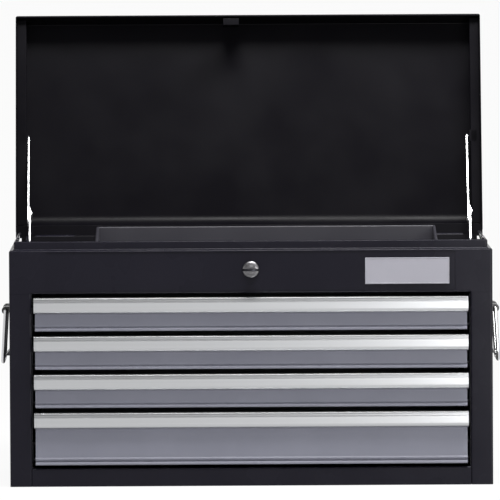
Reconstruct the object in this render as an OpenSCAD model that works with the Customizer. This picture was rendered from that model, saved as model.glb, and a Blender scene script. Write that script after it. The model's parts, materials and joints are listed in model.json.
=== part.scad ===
// Four-drawer machinist top chest with a hinged lid, lid stays, side drop
// handles, a cam lock and a loose tray in its top till.
// Millimetres. +Z up, front towards -Y, origin at the centre of the base.
// The lid is drawn open, the drawers shut and the handles hanging.

/* [Cabinet] */
// Outside width of the cabinet
body_w = 660; // [560:1:760]
// Outside depth of the cabinet
body_d = 315; // [285:1:400]
// Height of the header between the drawer opening and the ledge under the lid
header_h = 59.5; // [56:0.5:110]
// Thickness of the cabinet sheet
sheet = 1.2; // [0.8:0.1:2]
// Visible width of each front stile
stile_w = 30; // [26:1:40]
// Width of the corner gusset over each stile
gusset_w = 52; // [44:1:70]
// Depth of the inward folds round the drawer opening
fold_d = 12; // [8:1:14]
// Height of the bottom rail under the drawers
bottom_rail_h = 25; // [15:0.1:40]
// Inset of the upstand that the lid closes over
upstand_inset = 6.5; // [5:0.1:9]
// Height of that upstand over the ledge
upstand_h = 12; // [8:0.1:16]
// How far the back panel stands over the ledge
back_rise = 5; // [3:0.1:5]
// Width of the open notch at each top corner of the back panel
back_notch_w = 2.5; // [2:0.5:16]

/* [Drawers] */
// Height of the faces of the three upper drawers
small_face_h = 45.6; // [44:0.1:50]
// Height of the face of the bottom drawer
large_face_h = 71.5; // [55:0.1:75]
// Height of the gap between two drawer faces
face_gap = 6.8; // [4:0.1:8]
// Height of the gap over the top drawer face
top_gap = 5.4; // [4:0.1:9]
// Height of the gap under the bottom drawer face
bottom_gap = 4.4; // [3:0.1:8]
// Gap between a drawer face and the stile at each side
side_gap = 5; // [4:0.1:8]
// Thickness of the drawer sheet
drawer_sheet = 1; // [0.7:0.1:1.5]
// Space between the drawer boxes and the back panel
drawer_back_gap = 20.8; // [6:0.1:60]
// How far a drawer box stays below the top of its face
box_drop = 9; // [6:0.5:12]
// Distance of a drawer box behind its face
face_fold_d = 8; // [4:0.5:12]
// How far the bottom fold of a face reaches under its drawer box
face_seat_d = 12; // [6:0.5:20]
// How far the rolled lip at the bottom of a face stands out
lip_out = 2.6; // [1.5:0.1:4]
// Height of that lip
lip_h = 4.8; // [4:0.1:7]

/* [Pull trim] */
// Height of the pull trim along the top of each drawer face
trim_h = 21.4; // [18:0.1:26]
// How far the pull trim stands out of the drawer face
trim_out = 10; // [7:0.1:14]
// How far the pull trim reaches past each end of the drawer face
trim_over = 1.5; // [0:0.1:3]
// Height of the grooved band at the top of the pull trim
trim_band_h = 6; // [4:0.1:8]
// Depth of the groove in that band
trim_groove = 2; // [1:0.1:3]
// Radius of the rounded underside of the pull trim
trim_r = 6.5; // [4:0.1:7]
// Thickness of the walls of the pull trim
trim_wall = 1.8; // [1.2:0.1:2]
// How far the top of the pull trim reaches back over the face
trim_back = 7; // [4:0.5:10]

/* [Drawer slides] */
// Height of a fixed slide channel
channel_h = 26; // [24:0.5:30]
// Depth of a fixed slide channel
channel_d = 7; // [5:0.1:8]
// Space between the fixed slide channels and the back panel
channel_back_gap = 37.8; // [30:0.1:60]
// Thickness of the slide sheet
slide_sheet = 1.2; // [0.8:0.1:1.5]
// Width of each post that carries the slides
post_w = 24; // [18:1:32]
// Distance of the slide centre above the floor of its drawer box
slide_rise = 17; // [15.5:0.5:18]

/* [Lid] */
// Height of the lid from its free edge to its top
lid_h = 49.5; // [45:0.5:60]
// Thickness of the lid sheet
lid_sheet = 1; // [0.7:0.1:1.2]
// Inset of the lid ends from the sides of the cabinet
lid_inset = 2; // [1:0.1:2.4]
// How far the lid stands out over the cabinet front
lid_over = 1; // [0.5:0.1:4]
// Gap between the free edge of the closed lid and the ledge
lid_gap = 0.5; // [0.3:0.1:1]
// Width of the inward flange along each end of the lid
flange_w = 14; // [10:0.5:14]
// Width of the flat strip along the hinge
strip_w = 17; // [14:0.5:20]
// Outside radius of the bend between the top and the back of the lid
back_r = 24.5; // [12:0.5:24.5]
// Thickness of the folded hem on the front edge of the lid
hem_t = 3; // [2:0.1:4]
// Height of that hem
hem_h = 6; // [4:0.5:9]
// Angle to which the lid opens from shut
lid_open = 105; // [100:1:108]

/* [Hinge] */
// Distance of each end of the piano hinge from the side of the cabinet
hinge_inset = 30; // [20:1:80]
// Number of knuckles along the hinge
knuckles = 11; // [7:2:15]
// Outside diameter of a knuckle
knuckle_d = 7; // [6:0.1:7.4]
// Diameter of the hinge pin
hinge_pin_d = 3; // [2.4:0.1:3.6]
// Distance of the hinge axis behind the cabinet back
hinge_off = 4; // [3.8:0.1:4.3]
// Height of the hinge axis over the ledge
hinge_rise = 4; // [3.8:0.1:4.4]
// Height of the leaf on the cabinet back
leaf_h = 25; // [18:1:35]
// Thickness of each leaf
leaf_t = 1; // [0.8:0.1:1.2]

/* [Lid stays] */
// Distance of the upper stay pivot from the hinge, along the lid
stay_reach = 146; // [144:0.5:148]
// Height of the upper stay pivot over the hinge, with the lid shut
stay_lid_rise = 21; // [19:0.5:22]
// Distance of the lower stay pivot in front of the hinge
stay_foot_fwd = 26.5; // [25.5:0.5:27.5]
// Depth of the lower stay pivot below the hinge
stay_foot_drop = 5; // [4:0.5:7]
// Distance between the pivots of the lower link
stay_lower = 32; // [31:0.5:33]
// How far the tail of the lower link reaches past the elbow
stay_tail = 18; // [14:0.5:19]
// Thickness of a link
link_t = 1.8; // [1.4:0.1:2]
// Width of a link
link_w = 11; // [9:0.5:11]
// Diameter of the stay rivets
stay_pin_d = 5; // [4:0.1:5.4]
// Diameter of the shoulder behind a link
stay_collar_d = 6; // [5.8:0.1:6.6]
// Diameter of a rivet head
stay_head_d = 8; // [7:0.1:9]
// Height of a rivet head
stay_head_h = 1.5; // [1:0.1:1.6]
// Height of the detent bump on the tail of the lower link
bump_h = 2.3; // [1:0.1:2.4]
// Length of the detent bump along the link
bump_l = 10; // [6:0.5:12]
// Distance of the detent bump past the elbow
bump_at = 12; // [10:0.5:13]
// Distance of the stay brackets inside the side walls
stay_inset = 17.7; // [17.6:0.1:30]
// Thickness of the stay brackets
bracket_t = 1.5; // [1.2:0.1:1.5]
// Width of the stay brackets
bracket_w = 16; // [13:0.5:18]

/* [Lock] */
// Height of the lock axis below the ledge
lock_drop = 27; // [25:0.5:27]
// Diameter of the lock rim
lock_rim_d = 22.8; // [20:0.1:26]
// How far the lock rim stands out of the front
lock_rim_h = 3.5; // [2:0.1:5]
// Diameter of the lock barrel
lock_barrel_d = 16; // [14:0.1:18]
// Length of the lock barrel behind the front face
lock_barrel_len = 15; // [14.5:0.1:15.5]
// Diameter of the turning plug
plug_d = 10; // [8:0.1:12]
// Length of the key slot
key_slot_l = 7; // [5:0.1:8]
// Width of the key slot
key_slot_w = 2; // [1:0.1:3]
// Depth of the key slot behind the face of the plug
key_slot_d = 6; // [4:0.5:10]
// Diameter of the round bow of the key
key_bow_d = 23; // [18:0.5:28]
// Thickness of the key bow
key_bow_t = 2.8; // [1.5:0.1:3.5]
// Diameter of the ring hole in the key bow
key_hole_d = 6; // [3:0.5:8]
// Length of the key blade that shows between the plug and the bow
key_neck_l = 3; // [2:0.5:6]
// Length of the cam from the lock axis
cam_l = 28; // [26:0.5:30]
// Width of the cam
cam_w = 10; // [8:0.5:10]
// Thickness of the cam
cam_t = 2; // [1.5:0.1:2.5]
// Distance of the lid catch to the left of the lock axis
catch_x = 24; // [23:0.5:26]
// Width of the lid catch
catch_w = 22; // [16:0.5:23]
// Thickness of the lid catch
catch_t = 1.2; // [1:0.1:1.5]
// Reach of the catch plate behind the lid skirt
catch_reach = 14; // [13.5:0.1:14.5]
// Length of the shelf that the cam holds down
catch_shelf = 8; // [6:0.5:9]

/* [Side handles] */
// Diameter of the handle rod
rod_d = 5.5; // [4.5:0.1:5.6]
// Width between the centres of the handle arms
bail_w = 96; // [80:1:110]
// Drop of the grip below the pivot
bail_drop = 71; // [66:0.5:90]
// Radius of the corners of the handle
bail_r = 12; // [8:0.5:16]
// Angle at which the handle stands off the side at rest
bail_tilt = 3.3; // [3:0.1:5]
// Height of the handle pivot over the base
bail_z = 235.5; // [200:0.5:255]
// Height of the handle plate
plate_h = 74; // [70:1:76]
// Width of the handle plate
plate_w = 112; // [104:1:130]
// Thickness of the handle plate
plate_t = 1.5; // [1.2:0.1:1.8]
// Outside diameter of the knuckles on the handle plate
bail_knuckle_d = 11; // [10:0.1:11.2]
// Length of each knuckle on the handle plate
bail_knuckle_l = 26; // [16:0.5:30]
// Distance of the handle pivot from the cabinet side
bail_off = 7.6; // [7.2:0.1:8.4]

/* [Tray] */
// Width of the loose tray
tray_w = 468; // [400:1:480]
// Depth of the loose tray
tray_d = 210; // [160:1:230]
// Height of the back wall of the tray
tray_back_h = 77.5; // [60:0.5:84]
// Height of the front wall of the tray
tray_front_h = 48; // [30:0.5:55]
// Thickness of the tray sheet
tray_sheet = 1; // [0.8:0.1:1.5]
// Distance of the tray centre to the right of the chest centre
tray_x = 23; // [0:1:40]
// Distance of the tray centre behind the chest centre
tray_y = 10; // [0:1:16]

/* [Label plate] */
// Width of the bare label plate
label_w = 115; // [80:1:130]
// Height of the bare label plate
label_h = 36; // [25:0.5:45]
// Thickness of the label plate
label_t = 1.2; // [0.8:0.1:3]
// Gap between the label plate and the right corner gusset
label_gap = 6.9; // [2:0.1:100]
// Depth of the label plate centre below the ledge
label_drop = 29.8; // [26:0.1:34]

/* [Fits] */
// Gap between parts that move past each other
gap = 0.3; // [0.2:0.05:0.5]
// Radial clearance of a turning rivet, pin or plug
fit = 0.08; // [0.03:0.01:0.1]

/* [Hidden] */
$fn = 48;
tiny = 0.01;

// Cabinet planes
front_y = -body_d / 2;
back_y = body_d / 2;
side_x = body_w / 2;
inner_x = side_x - sheet;
inner_y = back_y - sheet;
opening_x = side_x - stile_w;
rim_x = side_x - upstand_inset;
rim_y = front_y + upstand_inset;

// Drawer rows, counted from the top
rows = 4;
face_hs = [small_face_h, small_face_h, small_face_h, large_face_h];
function face_z(i) = i == rows - 1
    ? bottom_rail_h + bottom_gap
    : face_z(i + 1) + face_hs[i + 1] + face_gap;
opening_top = face_z(0) + face_hs[0] + top_gap;
body_h = opening_top + header_h;
rim_top = body_h + upstand_h;
face_x = opening_x - side_gap;
box_x = opening_x - channel_d - gap - slide_sheet;
function box_z(i) = face_z(i) + drawer_sheet;
function box_h(i) = face_hs[i] - box_drop - drawer_sheet;
box_front = front_y + face_fold_d;
drawer_d = inner_y - drawer_back_gap - box_front;
function slide_z(i) = box_z(i) + slide_rise;
post_x = opening_x - 2 * gap;
post_front = front_y + fold_d + 2;
channel_len = inner_y - channel_back_gap - post_front;
post_rear = post_front + channel_len - post_w - 10;
till_z = opening_top + sheet;

// Hinge and lid, given from the hinge axis with the lid shut
hinge_y = back_y + hinge_off;
hinge_z = body_h + hinge_rise;
lid_bottom = lid_gap - hinge_rise;
lid_top = lid_bottom + lid_h;
lid_front = -(body_d + hinge_off + lid_over);
lid_x = side_x - lid_inset;
flange_z = upstand_h - hinge_rise + gap;
strip_z = knuckle_d / 2 + gap;
bend_y = -strip_w - back_r;
bend_z = lid_top - back_r;
hinge_w = body_w - 2 * hinge_inset;
leaf_x = hinge_w / 2;
knuckle_l = hinge_w / knuckles;

// Rear end of the side upstands, clear of the back of the lid as it turns
rim_turn = [strip_w + 2 * lid_sheet, upstand_h - hinge_rise];
rim_end = hinge_y - norm(rim_turn) - gap;

// Lid stays, in the plane of depth and height
stay_x = inner_x - stay_inset;
stay_foot = [hinge_y - stay_foot_fwd, hinge_z - stay_foot_drop];
stay_head = [
    hinge_y - stay_reach * cos(lid_open) + stay_lid_rise * sin(lid_open),
    hinge_z + stay_reach * sin(lid_open) + stay_lid_rise * cos(lid_open)
];
stay_dir = stay_head - stay_foot;
stay_angle = atan2(stay_dir[1], stay_dir[0]);
stay_upper = norm(stay_dir) - stay_lower;
stay_elbow = stay_foot + stay_lower * [cos(stay_angle), sin(stay_angle)];

// Lock and catch
lock_z = body_h - lock_drop;
cam_y = front_y + lock_barrel_len;
plug_y = front_y - lock_rim_h - 0.5;
catch_y = lid_front + lid_sheet + catch_reach;
catch_z = upstand_h - hinge_rise + 1;
shelf_z = lock_z - cam_w / 2 - gap - hinge_z;

// Handles
bail_x = side_x + bail_off;
plate_z = bail_z + bail_knuckle_d / 2 + 7 - plate_h;

// ---- Shared shapes ----

// A box between two opposite corners
module block(a, b) {
    translate(a) cube(b - a);
}

// A depth and height outline, extruded along X from x0 to x1
module along_x(x0, x1) {
    translate([x0, 0, 0]) rotate([90, 0, 90]) linear_extrude(x1 - x0) children();
}

// A round bar along X, through a point given by depth and height
module x_bar(x0, x1, at, d) {
    along_x(min(x0, x1), max(x0, x1)) translate(at) circle(d = d);
}

// A round bar along Y, through a point given by width and height
module y_bar(y0, y1, at, d) {
    translate([at[0], y0, at[1]]) rotate([-90, 0, 0]) cylinder(h = y1 - y0, d = d);
}

// Draws on the right, and mirrored on the left where side is -1
module on_side(side) {
    if (side > 0) children();
    else mirror([1, 0, 0]) children();
}

// ---- Cabinet ----

// Side wall with its ledge, upstand and rear fold
module side(side) {
    color("#26262b") on_side(side) {
        block([inner_x, front_y, 0], [side_x, back_y, body_h]);
        block([rim_x, front_y, body_h - sheet], [inner_x, back_y, body_h]);
        block([rim_x - sheet, rim_y, body_h - sheet], [rim_x, rim_end, rim_top]);
    }
}

// Front stile with its fold and the corner gusset above it
module stile(side) {
    gusset_x = side_x - gusset_w;
    color("#26262b") on_side(side) {
        block([opening_x, front_y, 0], [inner_x, front_y + sheet, opening_top]);
        block([opening_x, front_y + sheet, 0], [opening_x + sheet, front_y + fold_d, opening_top]);
        block([gusset_x, front_y, opening_top], [inner_x, front_y + sheet, body_h - sheet]);
    }
}

// Panel over the drawers, with the lock hole, front ledge and upstand
module header() {
    panel_x = side_x - gusset_w;
    color("#26262b") difference() {
        union() {
            block([-panel_x, front_y, opening_top], [panel_x, front_y + sheet, body_h]);
            block([-rim_x, front_y, body_h - sheet], [rim_x, rim_y, body_h]);
            block([sheet - rim_x, rim_y, body_h - sheet], [rim_x - sheet, rim_y + sheet, rim_top]);
            block([-opening_x, front_y + sheet, opening_top], [opening_x, front_y + fold_d, till_z]);
            block([-panel_x, front_y, opening_top], [panel_x, front_y + fold_d, till_z]);
        }
        y_bar(front_y - 1, front_y + sheet + 1, [0, lock_z], lock_barrel_d);
    }
}

module bottom_rail() {
    color("#26262b") {
        block([-opening_x, front_y, 0], [opening_x, front_y + sheet, bottom_rail_h]);
        block(
            [-opening_x, front_y + sheet, bottom_rail_h - sheet],
            [opening_x, front_y + fold_d, bottom_rail_h]
        );
    }
}

module base() {
    color("#202024") {
        block([-opening_x, front_y + sheet, 0], [opening_x, inner_y, sheet]);
        block([-inner_x, front_y + fold_d, 0], [inner_x, inner_y, sheet]);
    }
}

// Back panel, with an open notch at each top corner behind the upstands
module back() {
    notch_x = rim_x - sheet - back_notch_w;
    color("#202024") {
        block([-inner_x, inner_y, 0], [inner_x, back_y, body_h - sheet]);
        block([-notch_x, inner_y, body_h - sheet], [notch_x, back_y, body_h + back_rise]);
    }
}

module till_floor() {
    color("#202024") block([-inner_x, front_y + fold_d, opening_top], [inner_x, inner_y, till_z]);
}

// Front and rear posts that carry the drawer slides
module posts(side) {
    color("#202024") on_side(side) for (y = [post_front, post_rear]) difference() {
        block([post_x, y, sheet], [inner_x, y + post_w, opening_top]);
        block([post_x + sheet, y + sheet, 0], [inner_x + 1, y + post_w - sheet, opening_top + 1]);
    }
}

// Fixed slide channels of one row, left and right
module slides(i) {
    z = slide_z(i);
    color("#9a9aa0") for (side = [-1, 1]) on_side(side) difference() {
        block(
            [post_x - channel_d, post_front, z - channel_h / 2],
            [post_x, post_front + channel_len, z + channel_h / 2]
        );
        block(
            [post_x - channel_d - 1, post_front - 1, z - channel_h / 2 + slide_sheet],
            [post_x - slide_sheet, post_front + channel_len + 1, z + channel_h / 2 - slide_sheet]
        );
    }
}

// Bare label plate on the header
module label_plate() {
    label_x = side_x - gusset_w - label_gap - label_w / 2;
    z = body_h - label_drop - label_h / 2;
    color("#b5b3bd") block(
        [label_x - label_w / 2, front_y - label_t, z],
        [label_x + label_w / 2, front_y, z + label_h]
    );
}

// ---- Hinge ----

// Knuckles with an even or odd place along the hinge, bored for the pin
module knuckle_row(odd) {
    for (i = [0 : knuckles - 1]) if (i % 2 == odd) {
        x = -leaf_x + i * knuckle_l;
        difference() {
            x_bar(x + gap / 2, x + knuckle_l - gap / 2, [0, 0], knuckle_d);
            x_bar(x - 1, x + knuckle_l + 1, [0, 0], hinge_pin_d + 2 * fit);
        }
    }
}

// Clears the places of the other leaf's knuckles out of a leaf
module knuckle_slots(odd) {
    clear = knuckle_d / 2 + gap;
    for (i = [0 : knuckles - 1]) if (i % 2 != odd) {
        x = -leaf_x + i * knuckle_l;
        block([x - gap / 2, -clear, -clear], [x + knuckle_l + gap / 2, clear, clear]);
    }
}

module hinge_leaf_body() {
    color("#55555a") translate([0, hinge_y, hinge_z]) {
        knuckle_row(0);
        difference() {
            block([-leaf_x, -hinge_off, -leaf_h], [leaf_x, leaf_t - hinge_off, 0]);
            knuckle_slots(0);
        }
        difference() {
            for (i = [0 : 2 : knuckles - 1]) block(
                [-leaf_x + i * knuckle_l + gap / 2, -hinge_off, -knuckle_d / 2],
                [-leaf_x + (i + 1) * knuckle_l - gap / 2, 0, 0]
            );
            x_bar(-leaf_x - 1, leaf_x + 1, [0, 0], knuckle_d - 1);
        }
    }
}

module hinge_pin() {
    color("#c8c8cc") x_bar(-leaf_x - 1, leaf_x + 1, [hinge_y, hinge_z], hinge_pin_d);
}

// ---- Lid, drawn shut from the hinge axis and then swung open ----

module swung_open() {
    translate([0, hinge_y, hinge_z]) rotate([-lid_open, 0, 0]) children();
}

// The side view of the lid, set in by the thickness of a sheet where asked
module lid_outline(inset, low) {
    front = lid_front + inset;
    translate([front, low]) square([bend_y - front, lid_top - inset - low]);
    translate([front, low]) square([-strip_w - inset - front, bend_z - low]);
    translate([bend_y, bend_z]) circle(r = back_r - inset);
}

// Front skirt with its hem, top, bent back and hinge strip
module lid_profile() {
    t = lid_sheet;
    difference() {
        union() {
            lid_outline(0, lid_bottom);
            translate([-strip_w - t, strip_z]) square([strip_w + t, t]);
        }
        lid_outline(t, lid_bottom - 1);
        translate([-strip_w - 2 * t, lid_bottom - 1]) square([strip_w, strip_z - lid_bottom + 1]);
    }
    translate([lid_front, lid_bottom]) square([hem_t, hem_h]);
}

module lid_shell() {
    end = lid_x - lid_sheet;
    color("#1f1f23") swung_open() along_x(-end, end) lid_profile();
}

// End wall of the lid with its inward flange
module lid_end(side) {
    flange_back = -strip_w - 3 * lid_sheet;
    color("#1f1f23") swung_open() on_side(side) {
        along_x(lid_x - lid_sheet, lid_x) {
            lid_outline(0, lid_bottom);
            polygon([
                [bend_y, strip_z + lid_sheet],
                [-strip_w, strip_z + lid_sheet],
                [-knuckle_d, lid_bottom],
                [bend_y, lid_bottom]
            ]);
        }
        block(
            [lid_x - lid_sheet - flange_w, lid_front + hem_t, flange_z],
            [lid_x - lid_sheet, flange_back, flange_z + lid_sheet]
        );
    }
}

// Catch on the lid: foot, slotted plate, tongue and the shelf for the cam
module lid_catch() {
    x0 = -catch_x - catch_w / 2;
    x1 = -catch_x + catch_w / 2;
    foot_y = lid_front + lid_sheet;
    slot_w = catch_w - 8;
    color("#2c2c30") swung_open() {
        block([x0, foot_y, catch_z], [x1, foot_y + catch_t, catch_z + 14]);
        difference() {
            block([x0, foot_y, catch_z], [x1, catch_y, catch_z + catch_t]);
            block([-catch_x - slot_w / 2, foot_y + 4, catch_z - 1],
                [-catch_x + slot_w / 2, foot_y + 8, catch_z + catch_t + 1]);
        }
        block([x0, catch_y - catch_t, shelf_z - catch_t], [x1, catch_y, catch_z + catch_t]);
        block([x0, catch_y - catch_t, shelf_z - catch_t], [x1, catch_y + catch_shelf, shelf_z]);
    }
}

module hinge_leaf_lid() {
    color("#55555a") swung_open() {
        knuckle_row(1);
        difference() {
            block([-leaf_x, -strip_w, strip_z - leaf_t], [leaf_x, 0, strip_z]);
            knuckle_slots(1);
        }
    }
}

// ---- Lid stays ----
// Each stay has an outer and an inner plane. The left stay has its upper
// link outside, and the right one has its lower link outside.

// Least X of the plane nearer the end wall or nearer the middle
function plane_x(side, outer) =
    side > 0
    ? stay_x - gap - link_t - (outer ? 0 : gap + link_t)
    : -stay_x + gap + (outer ? 0 : gap + link_t);

// Face of a plane that looks away from the bracket
function far_x(side, outer) = plane_x(side, outer) + (side > 0 ? 0 : link_t);
// Face of a plane that looks towards the bracket
function near_x(side, outer) = plane_x(side, outer) + (side > 0 ? link_t : 0);

// Domed rivet head on the plane x, rising towards dir
module rivet_head(x, at, dir) {
    translate([x, at[0], at[1]]) rotate([0, dir * 90, 0])
        cylinder(h = stay_head_h, d1 = stay_head_d, d2 = stay_head_d * 0.6);
}

// Rivet that a link turns on: head, shank, shoulder and the head behind
module stay_rivet(side, outer, at) {
    end_x = far_x(side, outer) - side * fit;
    x_bar(end_x, side * (stay_x + bracket_t / 2), at, stay_pin_d);
    x_bar(near_x(side, outer) + side * gap / 2, side * (stay_x + bracket_t / 2), at, stay_collar_d);
    rivet_head(end_x, at, -side);
    rivet_head(side * (stay_x + bracket_t), at, side);
}

// A flat link along its own X, from its first pivot to a second one
module link_outline(len, over) {
    translate([0, -link_w / 2]) square([len + over, link_w]);
    circle(d = link_w);
    translate([len + over, 0]) circle(d = link_w);
}

// Upper link, with its half of the elbow rivet, which is flush on the left
// because the bracket is close behind it
module upper_link(side) {
    outer = side < 0;
    x = plane_x(side, outer);
    color("#d6d6da") {
        along_x(x, x + link_t) difference() {
            translate(stay_head) rotate(stay_angle + 180) link_outline(stay_upper, 0);
            translate(stay_head) circle(d = stay_pin_d + 2 * fit);
        }
        if (!outer) rivet_head(x, stay_elbow, -1);
    }
}

// Lower link, with its tail past the elbow, a detent bump and a rivet half
module lower_link(side) {
    x = plane_x(side, side > 0);
    bump_x = x + link_t - tiny;
    color("#d6d6da") {
        along_x(x, x + link_t) difference() {
            translate(stay_foot) rotate(stay_angle) link_outline(stay_lower, stay_tail);
            translate(stay_foot) circle(d = stay_pin_d + 2 * fit);
        }
        rivet_head(x + link_t, stay_elbow, 1);
        translate([bump_x, stay_elbow[0], stay_elbow[1]]) rotate([stay_angle, 0, 0])
            translate([0, bump_at, link_w / 2]) mirror([0, 0, 1]) linear_extrude(link_w)
                polygon([[0, -bump_l / 2], [bump_h, 0], [0, bump_l / 2]]);
    }
}

// Bracket on the cabinet side wall for the lower pivot
module stay_anchor(side) {
    foot_y = stay_foot[0] - bracket_w / 2;
    web_z = stay_foot[1] - 16;
    wall_x = inner_x - bracket_t;
    color("#8a8a90") {
        on_side(side) {
            block([wall_x, foot_y, web_z], [inner_x, foot_y + bracket_w, web_z + 12]);
            block([stay_x, foot_y, web_z], [wall_x, foot_y + bracket_w, web_z + bracket_t]);
            block([stay_x, foot_y, web_z], [stay_x + bracket_t, foot_y + bracket_w, stay_foot[1]]);
            x_bar(stay_x, stay_x + bracket_t, stay_foot, bracket_w);
        }
        stay_rivet(side, side > 0, stay_foot);
    }
}

// Ear on the lid flange for the upper pivot
module stay_ear(side) {
    ear_z = flange_z + lid_sheet;
    ear_y = -stay_reach - bracket_w / 2;
    color("#8a8a90") {
        swung_open() on_side(side) {
            block([stay_x, ear_y, ear_z], [lid_x - 6, ear_y + bracket_w, ear_z + bracket_t]);
            block([stay_x, ear_y, ear_z], [stay_x + bracket_t, ear_y + bracket_w, stay_lid_rise]);
            x_bar(stay_x, stay_x + bracket_t, [-stay_reach, stay_lid_rise], bracket_w);
        }
        stay_rivet(side, side < 0, stay_head);
    }
}

// ---- Lock ----

module lock_housing() {
    color("#c9c9ce") difference() {
        union() {
            y_bar(front_y - lock_rim_h, front_y, [0, lock_z], lock_rim_d);
            y_bar(front_y - 1, cam_y - gap, [0, lock_z], lock_barrel_d - gap);
        }
        y_bar(front_y - lock_rim_h - 1, cam_y, [0, lock_z], plug_d + 2 * fit);
    }
}

module lock_plug() {
    color("#b9b9be") difference() {
        union() {
            y_bar(plug_y, cam_y, [0, lock_z], plug_d);
            y_bar(cam_y, cam_y + cam_t + 3, [0, lock_z], plug_d * 0.6);
        }
        block(
            [-key_slot_l / 2, plug_y - 1, lock_z - key_slot_w / 2],
            [key_slot_l / 2, plug_y + key_slot_d, lock_z + key_slot_w / 2]
        );
    }
}

// Key in its slot: a flat blade and a round bow with a ring hole
module lock_key() {
    bow_y = plug_y - key_neck_l - key_bow_d / 2;
    blade_x = key_slot_l / 2 - fit;
    blade_z = key_slot_w / 2 - fit;
    color("#a9a9ae") difference() {
        union() {
            translate([0, bow_y, lock_z - key_bow_t / 2])
                cylinder(h = key_bow_t, d = key_bow_d);
            block(
                [-blade_x, bow_y, lock_z - blade_z],
                [blade_x, plug_y + key_slot_d - gap, lock_z + blade_z]
            );
        }
        translate([0, bow_y - key_bow_d / 4, lock_z - key_bow_t])
            cylinder(h = 2 * key_bow_t, d = key_hole_d);
    }
}

// Cam on the back of the plug, pointing up while unlocked
module lock_cam() {
    color("#a5a5aa") difference() {
        union() {
            y_bar(cam_y, cam_y + cam_t, [0, lock_z], plug_d + 6);
            block([-cam_w / 2, cam_y, lock_z], [cam_w / 2, cam_y + cam_t, lock_z + cam_l]);
        }
        y_bar(cam_y - 1, cam_y + cam_t + 1, [0, lock_z], plug_d * 0.6);
    }
}

// ---- Side handles ----

// Plate with a flared foot and two knuckles for the handle ends
module handle_plate(side) {
    flare = bail_off + (bail_z - plate_z) * tan(bail_tilt) - rod_d / 2 / cos(bail_tilt) - gap;
    knuckle_y = bail_w / 2 - rod_d / 2 - gap - bail_knuckle_l;
    color("#3a3a3e") on_side(side) {
        block([side_x, -plate_w / 2, plate_z], [side_x + plate_t, plate_w / 2, plate_z + plate_h]);
        translate([0, plate_w / 2, 0]) rotate([90, 0, 0]) linear_extrude(plate_w) polygon([
            [side_x + plate_t - tiny, plate_z + flare],
            [side_x + plate_t - tiny, plate_z],
            [side_x + flare, plate_z]
        ]);
        for (end = [-1, 1]) difference() {
            union() {
                y_bar(min(end * knuckle_y, end * (knuckle_y + bail_knuckle_l)),
                    max(end * knuckle_y, end * (knuckle_y + bail_knuckle_l)),
                    [bail_x, bail_z], bail_knuckle_d);
                block(
                    [side_x, min(end * knuckle_y, end * (knuckle_y + bail_knuckle_l)), bail_z],
                    [bail_x, max(end * knuckle_y, end * (knuckle_y + bail_knuckle_l)),
                        bail_z + bail_knuckle_d / 2]
                );
            }
            y_bar(-plate_w, plate_w, [bail_x, bail_z], rod_d + 2 * fit);
        }
    }
}

// A quarter bend of the rod in the YZ plane, from straight down to level
module rod_bend(y, z, end) {
    translate([0, y - end * bail_r, z]) rotate([90, 0, 90])
        rotate_extrude(angle = end > 0 ? -90 : 90, start = end > 0 ? 0 : 180)
            translate([bail_r, 0]) circle(d = rod_d);
}

// Drop handle: two pivot ends, two arms, two bends and the grip
module bail(side) {
    arm_y = bail_w / 2;
    end_l = bail_knuckle_l + rod_d / 2;
    color("#c9c9ce") on_side(side) translate([bail_x, 0, bail_z]) rotate([0, -bail_tilt, 0]) {
        for (end = [-1, 1]) {
            y_bar(min(end * arm_y, end * (arm_y - end_l)),
                max(end * arm_y, end * (arm_y - end_l)), [0, 0], rod_d);
            translate([0, end * arm_y, 0]) sphere(d = rod_d);
            translate([0, end * arm_y, bail_r - bail_drop]) cylinder(h = bail_drop - bail_r, d = rod_d);
            rod_bend(end * arm_y, bail_r - bail_drop, end);
        }
        y_bar(bail_r - arm_y, arm_y - bail_r, [0, -bail_drop], rod_d);
    }
}

// ---- Tray ----

// Loose tray with a high back, a low front and sloping ends
module tray() {
    y0 = tray_y - tray_d / 2;
    y1 = tray_y + tray_d / 2;
    x0 = tray_x - tray_w / 2;
    z0 = till_z + gap;
    t = tray_sheet;
    color("#3c3c40") {
        block([x0, y0, z0], [x0 + tray_w, y1, z0 + t]);
        block([x0, y0, z0], [x0 + tray_w, y0 + t, z0 + tray_front_h]);
        block([x0, y1 - t, z0], [x0 + tray_w, y1, z0 + tray_back_h]);
        for (x = [x0, x0 + tray_w - t]) along_x(x, x + t) polygon([
            [y0, z0], [y0, z0 + tray_front_h], [y1, z0 + tray_back_h], [y1, z0]
        ]);
    }
}

// ---- Drawers ----

// Open box behind a drawer face
module drawer_box(i) {
    t = drawer_sheet;
    back = box_front + drawer_d;
    color("#2b2b30") difference() {
        block([-box_x, box_front, box_z(i)], [box_x, back, box_z(i) + box_h(i)]);
        block([t - box_x, box_front + t, box_z(i) + t], [box_x - t, back - t, face_z(i) + face_hs[i]]);
    }
}

// Drawer face: a folded sheet with a rolled lip at its bottom edge
module drawer_face(i) {
    z0 = face_z(i);
    z1 = z0 + face_hs[i] - drawer_sheet - gap;
    t = drawer_sheet;
    bend = lip_h / 2;
    color("#7e818c") {
        along_x(-face_x, face_x) polygon([
            [front_y, z1],
            [front_y, z0 + lip_h],
            [front_y - lip_out + bend * 0.6, z0 + lip_h * 0.9],
            [front_y - lip_out, z0 + bend],
            [front_y - lip_out + bend * 0.6, z0 + lip_h * 0.1],
            [front_y, z0],
            [box_front + face_seat_d, z0],
            [box_front + face_seat_d, z0 + t],
            [front_y + t, z0 + t],
            [front_y + t, z1]
        ]);
        for (side = [-1, 1]) on_side(side)
            block([face_x - t, front_y, z0], [face_x, box_front, z1]);
    }
}

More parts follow.
